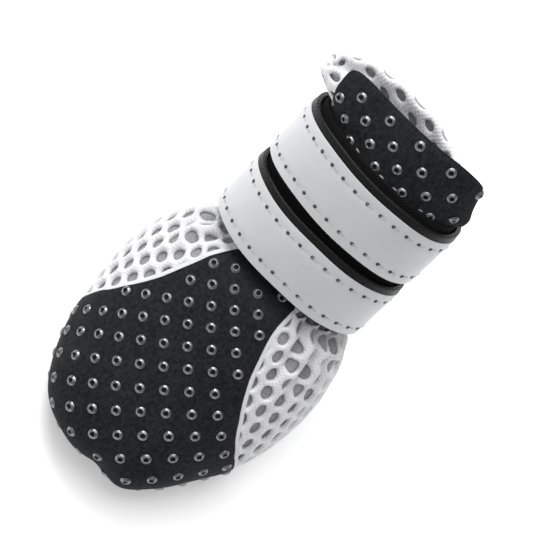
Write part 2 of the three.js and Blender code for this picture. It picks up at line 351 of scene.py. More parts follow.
def make_object(name, points, faces, layout=None, edges=(), **attributes):
    """A smooth mesh from points in mm. layout gives each point its place on the flat cloth, in mm."""
    mesh = bpy.data.meshes.new(name)
    mesh.from_pydata((np.asarray(points).reshape(-1, 3) * MM).tolist(), edges, faces)
    mesh.update()
    if faces:
        mesh.shade_smooth()
    if layout is not None:
        corners = np.zeros(len(mesh.loops), np.int32)
        mesh.loops.foreach_get("vertex_index", corners)
        uv = mesh.uv_layers.new(name="layout")
        flat_places = np.asarray(layout, np.float32).reshape(-1, 2) * MM
        uv.data.foreach_set("uv", flat_places[corners].ravel())
    for label, values in attributes.items():
        values = np.asarray(values, np.float32).reshape(len(mesh.vertices), -1)
        kind, field = ("FLOAT_VECTOR", "vector") if values.shape[1] == 3 else ("FLOAT", "value")
        mesh.attributes.new(label, kind, "POINT").data.foreach_set(field, values.ravel())
    return in_scene(name, mesh)


def cloth(name, points, layout, outward, zone=1.0):
    """An open sheet that carries its outward directions and the zone where a recipe may work."""
    return make_object(name, points, grid_faces(*points.shape[:2]), layout,
                       outward=np.broadcast_to(outward, points.shape),
                       zone=np.broadcast_to(zone, points.shape[:2]))


def face_out(piece):
    """Turns the faces of a closed mesh outwards, by the sign of its volume, which it returns."""
    solid = bmesh.new()
    solid.from_mesh(piece.data)
    volume = solid.calc_volume(signed=True)
    solid.free()
    if volume < 0:
        piece.data.flip_normals()
    return abs(volume) / MM**3


def arc_lengths(points, axis):
    """Distance along a grid's lines, from the first point of each."""
    steps = np.linalg.norm(np.diff(points, axis=axis), axis=-1)
    return np.insert(np.cumsum(steps, axis=axis), 0, 0, axis=axis)


def settle(piece, node, finish=None):
    """Says what a finished piece rides on, stands for and takes its finish from."""
    if finish is not None:
        piece.data.materials.clear()
        piece.data.materials.append(finish)
    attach(piece, "root")
    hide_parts(node)
    piece.data.calc_loop_triangles()
    print(f"{piece.name}: {len(piece.data.loop_triangles)} triangles")


# %% [markdown]
# ## Helpers for nodes
# Materials and Geometry Nodes are both trees of nodes, and long chains of Math nodes are hard to
# read. So an output can be added and multiplied here like a number, and each step adds its own
# Math node to the tree.

# %% Node helpers
def plug(tree, socket, value):
    """Fills a socket with a link or a plain value."""
    if isinstance(value, Wire):
        tree.links.new(value.socket, socket)
    else:
        socket.default_value = value


class Wire:
    """One output in a node tree. Arithmetic on it adds Math nodes."""

    def __init__(self, tree, socket):
        self.tree, self.socket = tree, socket

    def __getitem__(self, name):
        """Another output of the same node."""
        return Wire(self.tree, self.socket.node.outputs[name])

    def math(self, operation, *others, clamp=False):
        node = self.tree.nodes.new("ShaderNodeMath")
        node.operation, node.use_clamp = operation, clamp
        for socket, value in zip(node.inputs, (self, *others)):
            plug(self.tree, socket, value)
        return Wire(self.tree, node.outputs[0])

    def __add__(self, other):
        return self.math("ADD", other)

    def __sub__(self, other):
        return self.math("SUBTRACT", other)

    def __mul__(self, other):
        return self.math("MULTIPLY", other)

    def __truediv__(self, other):
        return self.math("DIVIDE", other)


def add(tree, kind, inputs=None, **settings):
    """Adds a node, sets its properties, fills its sockets, and gives its first output."""
    node = tree.nodes.new(kind)
    for key, value in settings.items():
        setattr(node, key, value)
    for key, value in (inputs or {}).items():
        plug(tree, node.inputs[key], value)
    return Wire(tree, node.outputs[0])


# %% [markdown]
# ## Helpers for finishes
# Each finish is a Principled shader with nodes that read millimetres, either from the piece's own
# layout or from its object coordinates. Bump comes from a weave or a grain at its true pitch.
# Colours are linear values, and plain numbers sit on the shader's own sockets.

# %% Finish helpers
def new_finish(name, roughness, **sockets):
    finish = bpy.data.materials.new(name)
    finish.use_nodes = True
    shader = finish.node_tree.nodes["Principled BSDF"]
    for key, value in dict(sockets, Roughness=roughness).items():
        shader.inputs[key.replace("_", " ")].default_value = value
    return finish, finish.node_tree, shader


def millimetres(tree, layout=None):
    """Coordinates in mm, from a map of the flat cloth or from the object's own coordinates."""
    if layout:
        place = add(tree, "ShaderNodeUVMap", uv_map=layout)
    else:
        place = add(tree, "ShaderNodeTexCoord")["Object"]
    return add(tree, "ShaderNodeVectorMath", {0: place, 1: (1 / MM,) * 3}, operation="MULTIPLY")


def weave_height(tree, where, pitch_u, pitch_v):
    """A plain weave: yarns over and under each other, as the product of two waves."""
    part = add(tree, "ShaderNodeSeparateXYZ", {0: where})
    over = (part["X"] * (math.pi / pitch_u)).math("SINE")
    under = (part["Y"] * (math.pi / pitch_v)).math("SINE")
    return over * under * 0.5 + 0.5


def noise(tree, size, detail=3.0, where=None):
    """Cloudy variation with lumps of about size mm."""
    return add(tree, "ShaderNodeTexNoise", {"Vector": where or millimetres(tree), "Scale": 1 / size,
                                            "Detail": detail})


def two_tone(tree, shader, factor, first, second):
    mix = tree.nodes.new("ShaderNodeMix")
    mix.data_type = "RGBA"
    plug(tree, mix.inputs["Factor"], factor)
    mix.inputs["A"].default_value = (*first, 1)
    mix.inputs["B"].default_value = (*second, 1)
    tree.links.new(mix.outputs["Result"], shader.inputs["Base Color"])


def emboss(tree, shader, *layers):
    """Bumps laid over each other, each a height and its depth in mm."""
    ground = {}
    for height, depth in layers:
        bump = add(tree, "ShaderNodeBump", {
            "Height": height, "Distance": depth * MM, "Strength": 1, **ground})
        ground = {"Normal": bump}
    plug(tree, shader.inputs["Normal"], bump)


# %% Fabric finishes
def fabric(name, dark, light, roughness, pitch, depth, layout="layout", fuzz=0.3, **sockets):
    """A woven or knitted cloth in two close tones. fuzz is the share of fine mottling."""
    finish, tree, shader = new_finish(name, roughness, **sockets)
    yarn = weave_height(tree, millimetres(tree, layout), pitch, pitch)
    mottled = (noise(tree, 0.8, 4.0) - 0.5) * (4 * fuzz) + noise(tree, 7.0)
    two_tone(tree, shader, (mottled * 0.65).math("ADD", yarn * 0.35, clamp=True), dark, light)
    emboss(tree, shader, (yarn, depth), (noise(tree, 0.5, 6.0), depth * 0.7))
    return finish


VAMP_FABRIC = fabric("vamp_fabric", (0.0035, 0.004, 0.0045), (0.021, 0.023, 0.025), 0.8, 0.42, 0.03,
                     fuzz=0.8, Specular_IOR_Level=0.15)
STRAP_WEAVE = fabric("strap_weave", (0.003, 0.003, 0.003), (0.008, 0.008, 0.008), 0.42, 0.7, 0.05,
                     Specular_IOR_Level=0.22)
EDGE_FABRIC = fabric("edge_fabric", (0.006, 0.006, 0.007), (0.016, 0.016, 0.017), 0.7, 0.5, 0.06,
                     layout=None, Specular_IOR_Level=0.2)
LOOP_PILE = fabric("loop_pile", (0.002, 0.002, 0.002), (0.007, 0.007, 0.007), 0.95, 0.35, 0.15,
                   layout=None, Specular_IOR_Level=0.2)
INSOLE_FABRIC = fabric("insole_cloth", (0.02, 0.02, 0.022), (0.045, 0.045, 0.05), 0.9, 0.6, 0.08)
# Painted shade: the mesh's inner face is coloured mid-grey so that it reads as the shade seen down the
# net's holes.
MESH_BACKING_PAINTED_SHADE = fabric("mesh_backing", (0.24, 0.24, 0.25), (0.38, 0.38, 0.385), 0.9, 0.5, 0.08)
# Painted shade: the rim fold under the collar net is coloured grey so that it reads as shade through the
# net's holes.
RIM_PADDING_PAINTED_SHADE = fabric("rim_padding", (0.36, 0.36, 0.37), (0.5, 0.5, 0.51), 0.85, 0.8, 0.12)
MESH_LINING = fabric("mesh_lining", (0.62, 0.62, 0.64), (0.78, 0.78, 0.79), 0.85, 0.8, 0.12)


# %% Moulded and printed finishes, painted shade for needle holes, and thread
def plain(name, color, roughness, grain, depth, **sockets):
    """A moulded, printed or spun stuff with a fine grain, in two tones close to its colour."""
    finish, tree, shader = new_finish(name, roughness, **sockets)
    dark, light = (tuple(c * share for c in color) for share in (0.85, 1.15))
    two_tone(tree, shader, noise(tree, grain * 8), dark, light)
    emboss(tree, shader, (noise(tree, grain, 5.0), depth))
    return finish


RING_PRINT = plain("ring_print", (0.2, 0.21, 0.22), 0.28, 0.3, 0.01, Metallic=0.85)
# Painted shade: the dark finish of the needle holes stands in for the shade inside each hole.
NEEDLE_HOLE_SHADE = plain("needle_hole", (0.05, 0.05, 0.052), 0.9, 0.3, 0.02)
SOLE_RUBBER = plain("sole_rubber", (0.075, 0.08, 0.09), 0.62, 0.25, 0.04)
THREAD_PALE, THREAD_GREY, THREAD_WHITE, THREAD_BLACK = (
    plain("thread_" + name, color, roughness, 0.15, 0.05) for name, color, roughness in (
        ("pale", (0.46, 0.465, 0.47), 0.55), ("grey", (0.3, 0.3, 0.3), 0.5),
        ("white", (0.85, 0.85, 0.85), 0.5), ("black", (0.01, 0.01, 0.011), 0.5)))

# %% Mesh knit and reflective tape
# The tape is pressed into a groove by its two rows of stitches and buckles a little between them.
STRAP_LOW_EDGE, STRAP_STEP = 13.0, 17.0
TAPE_LOW, TAPE_WIDTH, STITCH_INSET = -0.05, 12.9, 2.1
TAPE_MIDDLE, HALF_ROW_GAP = TAPE_LOW + TAPE_WIDTH / 2, TAPE_WIDTH / 2 - STITCH_INSET

MESH_WHITE, tree, shader = new_finish("mesh_white", 0.75, Sheen_Weight=0.2, Sheen_Roughness=0.4)
yarn = weave_height(tree, millimetres(tree, "knit"), 0.42, 0.55)
two_tone(tree, shader, (noise(tree, 5.0) * 0.5).math("ADD", yarn * 0.5, clamp=True),
         (0.62, 0.62, 0.64), (0.8, 0.8, 0.81))
emboss(tree, shader, (yarn, 0.09))

TAPE, tree, shader = new_finish("reflective_tape", 0.38, Specular_IOR_Level=0.6)
place = millimetres(tree, "layout")
beads = add(tree, "ShaderNodeTexVoronoi", {"Vector": place, "Scale": 5.0})
two_tone(tree, shader, (noise(tree, 9.0) * 0.7).math("ADD", beads * 0.4, clamp=True),
         (0.5, 0.515, 0.535), (0.61, 0.62, 0.635))
tape_up = (add(tree, "ShaderNodeSeparateXYZ", {0: place})["Y"] - STRAP_LOW_EDGE).math("MODULO", STRAP_STEP)
from_rows = ((tape_up - TAPE_MIDDLE).math("ABSOLUTE") - HALF_ROW_GAP).math("ABSOLUTE")
buckle = noise(tree, 5.0, 1.0, where=place) * 1.6 + from_rows.math("SMOOTH_MIN", 1.0, 0.5)
emboss(tree, shader, (buckle, 0.1), (beads, 0.012))
print("finishes:", len(bpy.data.materials))

# %% [markdown]
# ## Recipes in Geometry Nodes
# Rings, studs, stitches and mesh holes repeat, so each is one Geometry Nodes tree with named
# sizes. Modelling them one by one would be slow and would drift off the surface. There are three
# recipes: shapes set in rows over a surface, shapes run along a seam, and a net of cells laid over
# a surface. The first and the last find their place through the surface's layout map.

# %% Recipe helpers
INPUT_KINDS = dict(Surface="Geometry", Shape="Object", Material="Material")


def new_recipe(name, *labels):
    """A tree with named inputs: a surface, then some shapes and sizes, then a material."""
    tree = bpy.data.node_groups.new(name, "GeometryNodeTree")
    labels = ("Surface", *labels, "Material")
    for label in labels:
        kind = "NodeSocket" + INPUT_KINDS.get(label, "Float")
        tree.interface.new_socket(name=label, in_out="INPUT", socket_type=kind)
    tree.interface.new_socket(name="Made", in_out="OUTPUT", socket_type="NodeSocketGeometry")
    given = tree.nodes.new("NodeGroupInput").outputs
    return tree, {label: Wire(tree, given[label]) for label in labels}


def colour_and_give(tree, geometry, given):
    """The end of every recipe."""
    coloured = add(tree, "GeometryNodeSetMaterial", {"Geometry": geometry, "Material": given["Material"]})
    plug(tree, tree.nodes.new("NodeGroupOutput").inputs["Made"], coloured)


def copies_of_shape(tree, points, rotation, given):
    """Turned copies of the given shape on points, made real and coloured."""
    shape = add(tree, "GeometryNodeObjectInfo", {"Object": given["Shape"]})["Geometry"]
    copies = add(tree, "GeometryNodeInstanceOnPoints", {
        "Points": points, "Instance": shape, "Rotation": rotation})
    colour_and_give(tree, add(tree, "GeometryNodeRealizeInstances", {"Geometry": copies}), given)


def run_recipe(name, carrier, tree, **values):
    """Runs a recipe on a carrier and returns what it makes as a plain mesh object."""
    modifier = carrier.modifiers.new(tree.name, "NODES")
    modifier.node_group = tree
    for socket in tree.interface.items_tree:
        key = socket.name.lower().replace(" ", "_")
        if socket.in_out == "INPUT" and key in values:
            modifier[socket.identifier] = values[key]
    graph = bpy.context.evaluated_depsgraph_get()
    mesh = bpy.data.meshes.new_from_object(
        carrier.evaluated_get(graph), preserve_all_data_layers=True, depsgraph=graph)
    carrier.modifiers.remove(modifier)
    mesh.name = name
    return in_scene(name, mesh)


def here(tree):
    return add(tree, "GeometryNodeInputPosition")


def named(tree, label, kind="FLOAT_VECTOR"):
    return add(tree, "GeometryNodeInputNamedAttribute", {"Name": label}, data_type=kind)


def scaled(tree, vector, size):
    return add(tree, "ShaderNodeVectorMath", {0: vector, "Scale": size}, operation="SCALE")


def on_layout(tree, surface, where, value, kind="FLOAT_VECTOR"):
    """Reads a value of the surface at a place of its layout, given in mm."""
    spot = scaled(tree, where, MM)
    return add(tree, "GeometryNodeSampleUVSurface", {
        "Mesh": surface, "Value": value, "UV Map": named(tree, "layout"), "Sample UV": spot},
        data_type=kind)


def lattice(tree, surface, pitch, row_gap, stagger, columns, rows):
    """Points in rows on the flat, every other column moved along by a share of the pitch. Only
    those that lie on the surface, in its zone, are kept."""
    width = row_gap * columns
    grid = add(tree, "GeometryNodeMeshGrid", {
        "Size X": width, "Size Y": pitch * rows, "Vertices X": columns + 1, "Vertices Y": rows + 1})
    x = add(tree, "ShaderNodeSeparateXYZ", {0: here(tree)})["X"]
    odd = ((x + width) / row_gap).math("ROUND").math("FLOORED_MODULO", 2)
    move = add(tree, "ShaderNodeCombineXYZ", {"Y": odd * stagger * pitch})
    points = add(tree, "GeometryNodeSetPosition", {"Geometry": grid, "Offset": move})
    zone = on_layout(tree, surface, here(tree), named(tree, "zone", "FLOAT"), "FLOAT")
    wanted = add(tree, "FunctionNodeCompare", {0: zone, 1: 0.5}, operation="GREATER_THAN")
    off = add(tree, "FunctionNodeBooleanMath", {0: wanted, 1: zone["Is Valid"]}, operation="NAND")
    return add(tree, "GeometryNodeDeleteGeometry", {"Geometry": points, "Selection": off})


# %% Recipe 1: shapes in rows over a surface
SIZES = ("Pitch", "Row Gap", "Stagger", "Columns", "Rows")
ROWS_RECIPE, given = new_recipe("rows_over_surface", "Shape", *SIZES)
tree, surface = ROWS_RECIPE, given["Surface"]
kept = lattice(tree, surface, *(given[size] for size in SIZES))
facing = on_layout(tree, surface, here(tree), named(tree, "outward"))
remember = add(tree, "GeometryNodeStoreNamedAttribute", {
    "Geometry": kept, "Name": "facing", "Value": facing}, data_type="FLOAT_VECTOR", domain="POINT")
landed = on_layout(tree, surface, here(tree), here(tree))
placed = add(tree, "GeometryNodeSetPosition", {"Geometry": remember, "Position": landed})
stand = add(tree, "FunctionNodeAlignRotationToVector", {"Vector": named(tree, "facing")}, axis="Z")
copies_of_shape(tree, placed, stand, given)

# %% Recipe 2: shapes along a seam
SEAM_RECIPE, given = new_recipe("run_along_seam", "Shape", "Pitch")
tree = SEAM_RECIPE
line = add(tree, "GeometryNodeMeshToCurve", {"Mesh": given["Surface"]})
spaced = add(tree, "GeometryNodeResampleCurve", {"Curve": line, "Length": given["Pitch"]}, mode="LENGTH")
along = add(tree, "GeometryNodeInputTangent")
lie = add(tree, "FunctionNodeAxesToRotation", {0: named(tree, "outward"), 1: along},
          primary_axis="Z", secondary_axis="X")
copies_of_shape(tree, spaced, lie, given)

# %% Recipe 3: a net of cells over a surface
# A cell is a small grid bent round into a hexagon with an oval hole, in CELL_BANDS bands from the
# hole to the side. The yarn falls away towards the hole, by Depth.
HALF_SQRT3, SIXTH = math.sqrt(3) / 2, math.pi / 3
CELL_SIDES, CELL_BANDS, BAND_GROWTH, MERGE_GAP = 18, 4, 1.6, 0.02

NET_RECIPE, given = new_recipe("net_over_surface", "Pitch", "Hole Length", "Hole Width", "Slant", "Depth",
                               "Columns", "Rows")
tree, surface, pitch = NET_RECIPE, given["Surface"], given["Pitch"]
kept = lattice(tree, surface, pitch, pitch * HALF_SQRT3, 0.5, given["Columns"], given["Rows"])
square = add(tree, "GeometryNodeMeshGrid", {
    "Size X": 1.0, "Size Y": 1.0, "Vertices X": CELL_SIDES + 1, "Vertices Y": CELL_BANDS + 1})
place = add(tree, "ShaderNodeSeparateXYZ", {0: here(tree)})
turn, band = (place["X"] + 0.5) * (2 * math.pi), place["Y"] + 0.5
hexagon = pitch * 0.5 / (turn.math("FLOORED_MODULO", SIXTH) - SIXTH / 2).math("COSINE")
from_slant = turn - given["Slant"]
long_part = from_slant.math("COSINE") * 2 / given["Hole Length"]
wide_part = from_slant.math("SINE") * 2 / given["Hole Width"]
oval = (long_part * long_part + wide_part * wide_part).math("INVERSE_SQRT")
radius = (hexagon - oval) * band.math("POWER", BAND_GROWTH) + oval
fall = (band * -1 + 1).math("POWER", 3) * given["Depth"] * -1
cell_place = add(tree, "ShaderNodeCombineXYZ", {
    "X": radius * turn.math("COSINE"), "Y": radius * turn.math("SINE"), "Z": fall})
cell = add(tree, "GeometryNodeSetPosition", {"Geometry": square, "Position": cell_place})
copies = add(tree, "GeometryNodeInstanceOnPoints", {"Points": kept, "Instance": cell})
real = add(tree, "GeometryNodeRealizeInstances", {"Geometry": copies})
joined = add(tree, "GeometryNodeMergeByDistance", {"Geometry": real, "Distance": MERGE_GAP})
knit = add(tree, "GeometryNodeStoreNamedAttribute", {
    "Geometry": joined, "Name": "knit", "Value": scaled(tree, here(tree), MM)},
    data_type="FLOAT2", domain="CORNER")
landed = on_layout(tree, surface, here(tree), here(tree))
off_surface = add(tree, "FunctionNodeBooleanMath", {0: landed["Is Valid"]}, operation="NOT")
trimmed = add(tree, "GeometryNodeDeleteGeometry", {"Geometry": knit, "Selection": off_surface})
height = add(tree, "ShaderNodeSeparateXYZ", {0: here(tree)})["Z"]
facing = on_layout(tree, surface, here(tree), named(tree, "outward"))
lifted = scaled(tree, facing, height * MM)
final = add(tree, "ShaderNodeVectorMath", {0: landed, 1: lifted}, operation="ADD")
laid = add(tree, "GeometryNodeSetPosition", {"Geometry": trimmed, "Position": final})
colour_and_give(tree, add(tree, "GeometryNodeSetShadeSmooth", {"Geometry": laid}), given)
print("recipes:", [group.name for group in bpy.data.node_groups])

# %% [markdown]
# ## Floor, light and camera
# A plain pale floor and soft light show fabric best. The camera looks down from in front of the
# toe, rolled so that the boot lies across the picture. The key light is a broad soft box at the
# picture's upper right, so raised rings and strap edges catch it. A weak fill opens the shadows
# from the other side, and a small light high up puts a glint on the rings.

# %% Floor
FLOOR_HALF, FLOOR_GLOW = 3.0, 0.3
corners = [(x * FLOOR_HALF, y * FLOOR_HALF, 0) for x, y in ((-1, -1), (1, -1), (1, 1), (-1, 1))]
floor = make_object("floor", np.array(corners) / MM, [(0, 1, 2, 3)])
floor_finish, _, shader = new_finish("floor_paper", 0.9, Base_Color=(0.93, 0.93, 0.93, 1),
                                     Emission_Color=(1, 1, 1, 1), Emission_Strength=FLOOR_GLOW)
floor.data.materials.append(floor_finish)

# %% Camera
CAMERA_ELEVATION, CAMERA_ROLL = math.radians(61.3), math.radians(-45.6)
CAMERA_DISTANCE, CAMERA_LENS = 471, 150.7
AIM_RIGHT, AIM_UP = 1.0, 3.1
toward = Vector((math.cos(CAMERA_ELEVATION), 0, math.sin(CAMERA_ELEVATION)))
level_up = Vector((-math.sin(CAMERA_ELEVATION), 0, math.cos(CAMERA_ELEVATION)))
level_right = level_up.cross(toward)
picture_right = level_right * math.cos(CAMERA_ROLL) - level_up * math.sin(CAMERA_ROLL)
picture_up = level_right * math.sin(CAMERA_ROLL) + level_up * math.cos(CAMERA_ROLL)
boot_middle = (cad_low + cad_high) / 2
aim = boot_middle + (picture_right * AIM_RIGHT + picture_up * AIM_UP) * MM
camera_data = bpy.data.cameras.new("camera")
camera_data.lens = CAMERA_LENS
camera_data.clip_start, camera_data.clip_end = 0.02, 20
camera = in_scene("camera", camera_data)
facing_boot = Matrix((picture_right, picture_up, toward)).transposed().to_4x4()
camera.matrix_world = Matrix.Translation(aim + toward * CAMERA_DISTANCE * MM) @ facing_boot
bpy.context.scene.camera = camera
print("camera at", [round(v, 3) for v in camera.matrix_world.translation])


# %% Lights
def soft_light(name, up, right, front, distance, size, power):
    """A square soft box that faces the boot's middle, placed by the picture's own directions."""
    data = bpy.data.lights.new(name, "AREA")
    data.size, data.energy = size, power
    away = (picture_up * up + picture_right * right + toward * front).normalized()
    turned = away.to_track_quat("Z", "Y").to_matrix().to_4x4()
    in_scene(name, data).matrix_world = Matrix.Translation(boot_middle + away * distance) @ turned


# name, then up, right and to the front, distance and size in metres, power in watts
soft_light("key", 0.75, 0.5, 0.8, 0.95, 1.1, 9.0)
soft_light("fill", 0.4, -0.5, 0.9, 1.1, 0.9, 1.2)
soft_light("glint", 1.0, 0.1, 0.5, 0.8, 0.3, 3.0)
world = bpy.data.worlds.new("studio")
world.use_nodes = True
sky = world.node_tree.nodes["Background"].inputs
sky["Color"].default_value, sky["Strength"].default_value = (1, 1, 1, 1), 0.36
bpy.context.scene.world = world
bpy.context.scene.view_settings.view_transform = "Standard"

# %% [markdown]
# ## Beads, tapes and seams
# Bindings, straps and turned edges are all a small profile carried along a line. One helper does
# that, with the outward direction known at each station so that the profile never twists. A seam
# for stitches is the line alone, with the same outward directions.

# %% Profiles and strips
def circle(sides):
    turn = np.linspace(0, 2 * math.pi, sides, endpoint=False)
    return np.stack([np.cos(turn), np.sin(turn)], axis=-1)


def rounded_box(width, height, radius):
    """A rounded rectangle from (0, 0) to (width, height), as a loop of points."""
    loop = []
    quarter = np.linspace(0, math.pi / 2, 4)
    for x, y, start in ((width - radius, radius, -math.pi / 2), (width - radius, height - radius, 0),
                        (radius, height - radius, math.pi / 2), (radius, radius, math.pi)):
        loop.extend((x + radius * math.cos(start + a), y + radius * math.sin(start + a)) for a in quarter)
    return np.array(loop)


def stretched_box(low, high, thick, radius):
    """A rounded box between two heights at each station: its heights, and how far out each point is."""
    across, out = rounded_box(1.0, thick, radius).T
    middle = 1 - 2 * radius
    share = np.clip((across - radius) / middle, 0, 1)
    low, high = low[:, None], high[:, None]
    return low + radius + (high - low - 2 * radius) * share + across - radius - middle * share, out


def carried(line, outward, profile, closed=False):
    """Points of a profile of (across, out) pairs carried along a line. Each station may have its
    own profile too."""
    if closed:
        tangent = np.roll(line, -1, axis=0) - np.roll(line, 1, axis=0)
    else:
        tangent = np.gradient(line, axis=0)
    across = np.cross(outward, tangent)
    across /= np.linalg.norm(across, axis=-1, keepdims=True)
    profile = np.asarray(profile, float)
    if profile.ndim == 2:
        profile = np.broadcast_to(profile, (len(line),) + profile.shape)
    return line[:, None] + across[:, None] * profile[..., :1] + outward[:, None] * profile[..., 1:]


def solid_strip(name, points, closed=False, layout=None):
    """A closed mesh from profile loops in a row, capped at both ends unless it is a hoop."""
    stations, around = points.shape[:2]
    faces = grid_faces(stations, around, closed, True)
    if not closed:
        faces.append(list(range(around)))
        faces.append(list(range((stations - 1) * around, stations * around))[::-1])
    strip = make_object(name, points, faces, layout)
    face_out(strip)
    return strip


def ribbon(name, line, outward, width, thick, radius):
    """A flat tape laid along a line, with its own layout."""
    profile = rounded_box(width, thick, radius) - [width / 2, thick / 2]
    layout = paired(arc_lengths(line[:, None], 0), profile[None, :, 0])
    return solid_strip(name, carried(line, outward, profile), layout=layout)


# %% Small shapes and sewing
def turned_shape(name, profile, sides):
    """A small turned solid from (radius, height) pairs."""
    loops = [np.insert(circle(sides) * radius, 2, height, axis=1) for radius, height in profile]
    return solid_strip(name, np.stack(loops))


def thread_shape(length, width, height):
    """One stitch: a long grain of thread that dips at both ends."""
    stations = np.linspace(-1, 1, 7)
    swell = np.sqrt(np.maximum(0, 1 - stations**2 * 0.94))
    line = np.stack([stations * length / 2, 0 * stations, -0.35 * height * stations**2], axis=-1)
    out = np.broadcast_to([0, 0, 1.0], line.shape)
    loops = circle(6) * [width / 2, height / 2] * swell[:, None, None]
    return solid_strip("thread_shape", carried(line, out, loops))


def seam(line, outward):
    """A line for stitches, with its outward directions."""
    edges = [(i, i + 1) for i in range(len(line) - 1)]
    return make_object("seam_line", line, [], edges=edges, outward=outward)


def sew(name, seams, shape, finish, node, pitch):
    """Runs a shape along some seams, joins the result and clears the seams and the shape away."""
    points, faces = [], []
    for one in seams:
        run = run_recipe(name, one, SEAM_RECIPE, shape=shape, pitch=pitch * MM, material=finish)
        start = len(points)
        points.extend([tuple(v.co / MM) for v in run.data.vertices])
        faces.extend([[start + i for i in polygon.vertices] for polygon in run.data.polygons])
        discard(run)
    discard(shape, *seams)
    settle(make_object(name, points, faces), node, finish)


# %% [markdown]
# ## Where the panels meet
# The black vamp is a tongue-shaped panel over the toe and instep. Its two edges are not alike,
# because the toe is pressed aside. On the real boot the same fabric runs on under the straps and
# comes out as a wide collar panel. Each edge is a short table of angles by row, drawn through by
# the same curve as the last.

# %% Panel edges
VAMP_ROWS = [-1.0, 0, 1.8, 3.3, 4.6, 5.7, 6.6, 7.3, 8.0, 8.6, 9.2, 10]
VAMP_RIGHT_EDGE = [-79, -78, -75, -70, -63.5, -53.5, -44, -38.5, -34.5, -32.5, -30.5, -29]
VAMP_LEFT_EDGE = [75, 74, 70.5, 65, 55, 42.5, 31.5, 25.2, 21, 23, 26.5, 28]


def edge_angle(rows, known_rows, angles):
    """An edge's angle at each row, through a short table."""
    known = np.array(known_rows, float)
    places = np.interp(rows, known, np.arange(len(known)))
    values = np.array(angles, float)[:, None]
    return curve_through(values, np.ravel(places), 0.5)[:, 0].reshape(np.shape(rows))


def edge_height(across, full, edge, soft):
    """Lift of a turned panel edge: low where it is sewn down and full further in."""
    return edge + (full - edge) * (1 - bell(across / soft))


# %% [markdown]
# ## Spacer mesh
# Spacer mesh is two knitted faces with yarns between them: the outer face has large holes, and
# through each one the inner face shows in shade. A picture of holes would look flat at the edges,
# so the outer face is a real net. The inner face is one closed shell from the sole to the rim and
# back down inside, and the net is a recipe of hexagon cells with an oval hole in each.

# %% The inner face
FOOT_NET_END_ROW, COLLAR_NET_ROW = 9.3, 13.2
NET_DEPTH = 0.8
ROUND_LENGTH = 115


def in_collar(row):
    return smooth(COLLAR_NET_ROW - 0.3, COLLAR_NET_ROW + 0.5, row)


def backing_outer(row):
    """Lift of the inner face under the net. Under the straps it takes up the whole wall."""
    foot = 1 - smooth(FOOT_NET_END_ROW - 0.5, FOOT_NET_END_ROW, row)
    return -0.15 - (NET_DEPTH - 0.1) * np.maximum(foot, 0.75 * in_collar(row))


def backing_inner(row):
    return -WALL + (NET_DEPTH - 0.15) * in_collar(row)


ring_angles = np.linspace(0, 360, 180, endpoint=False)
outer_rows, inner_rows = np.linspace(0, RIM_ROW, 90)[:, None], np.linspace(RIM_ROW, 0, 50)[:, None]
lining_points = np.concatenate([fabric_point(outer_rows, ring_angles, backing_outer(outer_rows)),
                                fabric_point(inner_rows, ring_angles, backing_inner(inner_rows))])
lining_layout = paired(ring_angles[None] / 360 * ROUND_LENGTH, arc_lengths(lining_points, 0))
lining_faces = grid_faces(*lining_points.shape[:2], True, True)
lining = make_object("mesh_lining", lining_points, lining_faces, lining_layout)
print("lining volume, mm3:", round(face_out(lining), 1))
# The lining takes the mid-grey finish of painted shade.
settle(lining, "upper", MESH_BACKING_PAINTED_SHADE)

# %% Laying cloth flat
FOOT_LENGTHWISE = np.array([-0.9, 0, 0.42])
UNDER_VAMP, GATHER, GATHER_LOW_ROW, GATHER_HIGH_ROW = 6.5, 0.3, 5.4, 9.0
PANEL_MIDDLE_ROW = 5.5


def flat_from_middle(points, row, degrees, across):
    """Places on the flat cloth, smoothed over a dome: direction from the middle, and true distance."""
    middle, outward = fabric_point(row, degrees, 0), outward_at(row, degrees)
    across = across - outward * (across @ outward)
    across /= np.linalg.norm(across)
    along = np.cross(outward, across)
    from_middle = points - middle
    distance = np.linalg.norm(from_middle, axis=-1)
    u, v = from_middle @ across, from_middle @ along
    flat_length = np.maximum(np.hypot(u, v), 1e-9)
    return paired(u, v) * (distance / flat_length)[..., None]


def side_panel(name, edge, side, middle_turn, grain, shift):
    """A mesh side panel from under the vamp to the heel, laid flat along its own grain."""
    rows, share = np.linspace(0.3, FOOT_NET_END_ROW, 80)[:, None], np.linspace(0, 1, 200)
    start = edge_angle(rows, VAMP_ROWS, edge) - side * UNDER_VAMP
    turns = start + (side * 180.5 - start) * share
    surface = fabric_point(rows, turns, 0)
    u, v = np.moveaxis(flat_from_middle(surface, PANEL_MIDDLE_ROW, middle_turn, FOOT_LENGTHWISE), -1, 0)
    v = v * (1 + GATHER * smooth(GATHER_LOW_ROW, GATHER_HIGH_ROW, rows))
    cosine, sine = math.cos(math.radians(grain)), math.sin(math.radians(grain))
    layout = paired(u * cosine + v * sine, v * cosine - u * sine) + shift
    return cloth(name, surface, layout, outward_at(rows, turns))


# %% The net over the foot
# Two side panels meet in a seam down the heel. Each has its own grain, as it was cut.
NET_SIZES = dict(pitch=4.6, depth=NET_DEPTH, material=MESH_WHITE)
YARN_THICK = 0.32


def thicken(piece, thickness):
    """Gives a sheet its thickness, inwards from its outer face."""
    solid = piece.modifiers.new("thickness", "SOLIDIFY")
    solid.thickness, solid.offset = thickness * MM, -1


def lay_net(name, carrier, **sizes):
    """Lays a net over a carrier and gives it its yarn thickness."""
    net = run_recipe(name, carrier, NET_RECIPE, **dict(NET_SIZES, **sizes))
    thicken(net, YARN_THICK)
    settle(net, "upper")
    discard(carrier)


